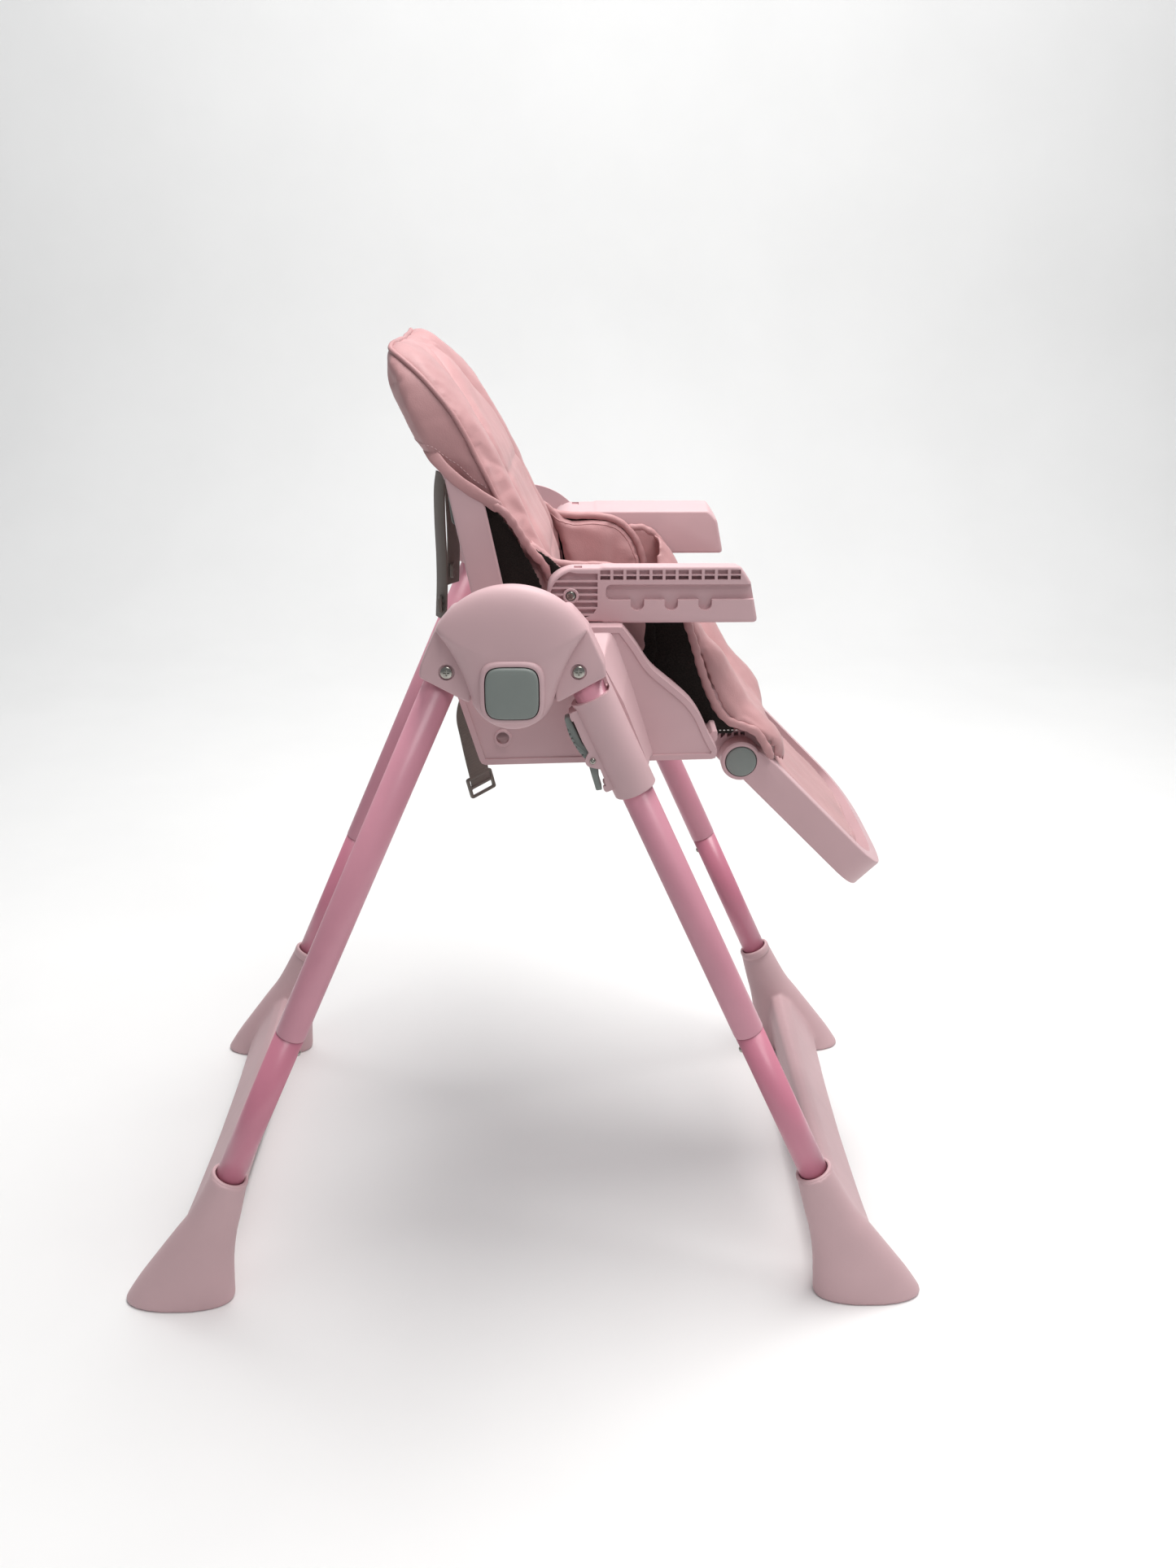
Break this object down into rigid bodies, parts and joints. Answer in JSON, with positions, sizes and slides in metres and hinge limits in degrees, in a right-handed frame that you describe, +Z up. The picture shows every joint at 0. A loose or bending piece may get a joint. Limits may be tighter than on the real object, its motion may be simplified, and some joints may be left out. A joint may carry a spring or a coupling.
{
  "type": "baby high chair",
  "caption": "Folding high chair for a baby, with a padded reclining seat that slides on the front legs, armrests, harness and a swinging footrest.",
  "frame": {"origin": "on the floor, in the middle of the four feet", "axes": "+X the way the child faces, +Y to the child's left, +Z up"},
  "size_m": [0.83, 0.591, 0.955],
  "materials": {
    "pink_plastic": "fine satin grain",
    "upper_paint": "smooth semi-gloss paint",
    "lower_paint": "smooth semi-gloss paint",
    "grey_plastic": "fine satin grain",
    "cover": "soft imitation leather with a fine grain",
    "webbing": "woven webbing",
    "buckle_plastic": "moulded",
    "steel": "zinc plated"
  },
  "bodies": {
    "front_frame": {"front_base": "pink_plastic", "front_lower_tube_left": "lower_paint", "front_lower_tube_right": "lower_paint", "front_upper_tube_left": "upper_paint", "front_upper_tube_right": "upper_paint", "front_bracket_left": "pink_plastic", "front_bracket_right": "pink_plastic", "hub_cover_left": "pink_plastic", "hub_cover_right": "pink_plastic", "axle_pin_left": "steel", "axle_pin_right": "steel", "front_screw_left": "steel", "front_screw_right": "steel"},
    "rear_frame": {"rear_base": "pink_plastic", "rear_lower_tube_left": "lower_paint", "rear_lower_tube_right": "lower_paint", "rear_upper_tube_left": "upper_paint", "rear_upper_tube_right": "upper_paint", "rear_bracket_left": "pink_plastic", "rear_bracket_right": "pink_plastic", "rear_screw_left": "steel", "rear_screw_right": "steel"},
    "seat": {"seat_pan": "pink_plastic", "seat_cushion": "cover", "leg_pad": "cover", "harness_buckle": "buckle_plastic", "crotch_strap": "webbing", "tail_strap": "webbing", "tail_buckle": "buckle_plastic", "hinge_rod": "steel", "side_panel_left": "pink_plastic", "side_panel_right": "pink_plastic", "height_sleeve_left": "pink_plastic", "height_sleeve_right": "pink_plastic", "armrest_left": "pink_plastic", "armrest_right": "pink_plastic", "armrest_screw_left": "steel", "armrest_screw_right": "steel", "footrest_bracket_left": "pink_plastic", "footrest_bracket_right": "pink_plastic", "seat_wing_left": "cover", "seat_wing_right": "cover", "lap_strap_left": "webbing", "lap_strap_right": "webbing"},
    "backrest": {"back_shell": "pink_plastic", "back_cushion": "cover", "shoulder_strap_left": "webbing", "shoulder_strap_right": "webbing"},
    "recline_handle": {"recline_handle": "grey_plastic"},
    "footrest": {"footrest_frame": "pink_plastic", "footrest_cushion": "cover"},
    "buckle_button": {"buckle_button": "grey_plastic"},
    "hub_button_left": {"hub_button_left": "grey_plastic"},
    "height_lever_left": {"height_lever_left": "grey_plastic"},
    "lock_pin_left": {"lock_pin_left": "steel"},
    "footrest_button_left": {"footrest_button_left": "grey_plastic"},
    "hub_button_right": {"hub_button_right": "grey_plastic"},
    "height_lever_right": {"height_lever_right": "grey_plastic"},
    "lock_pin_right": {"lock_pin_right": "steel"},
    "footrest_button_right": {"footrest_button_right": "grey_plastic"}
  },
  "joints": [
    {"name": "fold", "type": "hinge", "parent": "front_frame", "child": "rear_frame", "pos_m": [0, 0, 0.667], "axis": [0, -1, 0], "range_deg": [0, 44]},
    {"name": "seat_height", "type": "slide", "parent": "front_frame", "child": "seat", "axis": [0.4079, 0, -0.913], "range_m": [0, 0.24]},
    {"name": "recline", "type": "hinge", "parent": "seat", "child": "backrest", "pos_m": [0.01, 0, 0.606], "axis": [0, -1, 0], "range_deg": [0, 30]},
    {"name": "footrest_tilt", "type": "hinge", "parent": "seat", "child": "footrest", "pos_m": [0.2209, 0, 0.5459], "axis": [0, 1, 0], "range_deg": [-42, 40]},
    {"name": "recline_release", "type": "slide", "parent": "backrest", "child": "recline_handle", "axis": [-0.1961, 0, 0.9806], "range_m": [0, 0.008], "stiffness_N_per_m": 800, "springref_m": -0.002},
    {"name": "harness_release", "type": "slide", "parent": "seat", "child": "buckle_button", "axis": [0, 0, -1], "range_m": [0, 0.002], "stiffness_N_per_m": 600, "springref_m": -0.001},
    {"name": "hub_press_left", "type": "slide", "parent": "front_frame", "child": "hub_button_left", "axis": [0, -1, 0], "range_m": [0, 0.006], "stiffness_N_per_m": 700, "springref_m": -0.002},
    {"name": "footrest_press_left", "type": "slide", "parent": "footrest", "child": "footrest_button_left", "axis": [0, -1, 0], "range_m": [0, 0.005], "stiffness_N_per_m": 700, "springref_m": -0.002},
    {"name": "lever_squeeze_left", "type": "hinge", "parent": "seat", "child": "height_lever_left", "pos_m": [0.07049, 0.25, 0.59384], "axis": [0, -1, 0], "range_deg": [0, 8], "stiffness_Nm_per_rad": 0.8, "springref_deg": -2.86},
    {"name": "lock_pull_left", "type": "slide", "parent": "seat", "child": "lock_pin_left", "axis": [-0.913, 0, -0.4078], "range_m": [0, 0.0046]},
    {"name": "hub_press_right", "type": "slide", "parent": "front_frame", "child": "hub_button_right", "axis": [0, 1, 0], "range_m": [0, 0.006], "stiffness_N_per_m": 700, "springref_m": -0.002},
    {"name": "footrest_press_right", "type": "slide", "parent": "footrest", "child": "footrest_button_right", "axis": [0, 1, 0], "range_m": [0, 0.005], "stiffness_N_per_m": 700, "springref_m": -0.002},
    {"name": "lever_squeeze_right", "type": "hinge", "parent": "seat", "child": "height_lever_right", "pos_m": [0.07049, -0.25, 0.59384], "axis": [0, -1, 0], "range_deg": [0, 8], "stiffness_Nm_per_rad": 0.8, "springref_deg": -2.86},
    {"name": "lock_pull_right", "type": "slide", "parent": "seat", "child": "lock_pin_right", "axis": [-0.913, 0, -0.4078], "range_m": [0, 0.0046]}
  ],
  "couplings": [
    {"joint": "lock_pull_left", "follows": "lever_squeeze_left", "m_per_rad": 0.031},
    {"joint": "lock_pull_right", "follows": "lever_squeeze_right", "m_per_rad": 0.031}
  ]
}
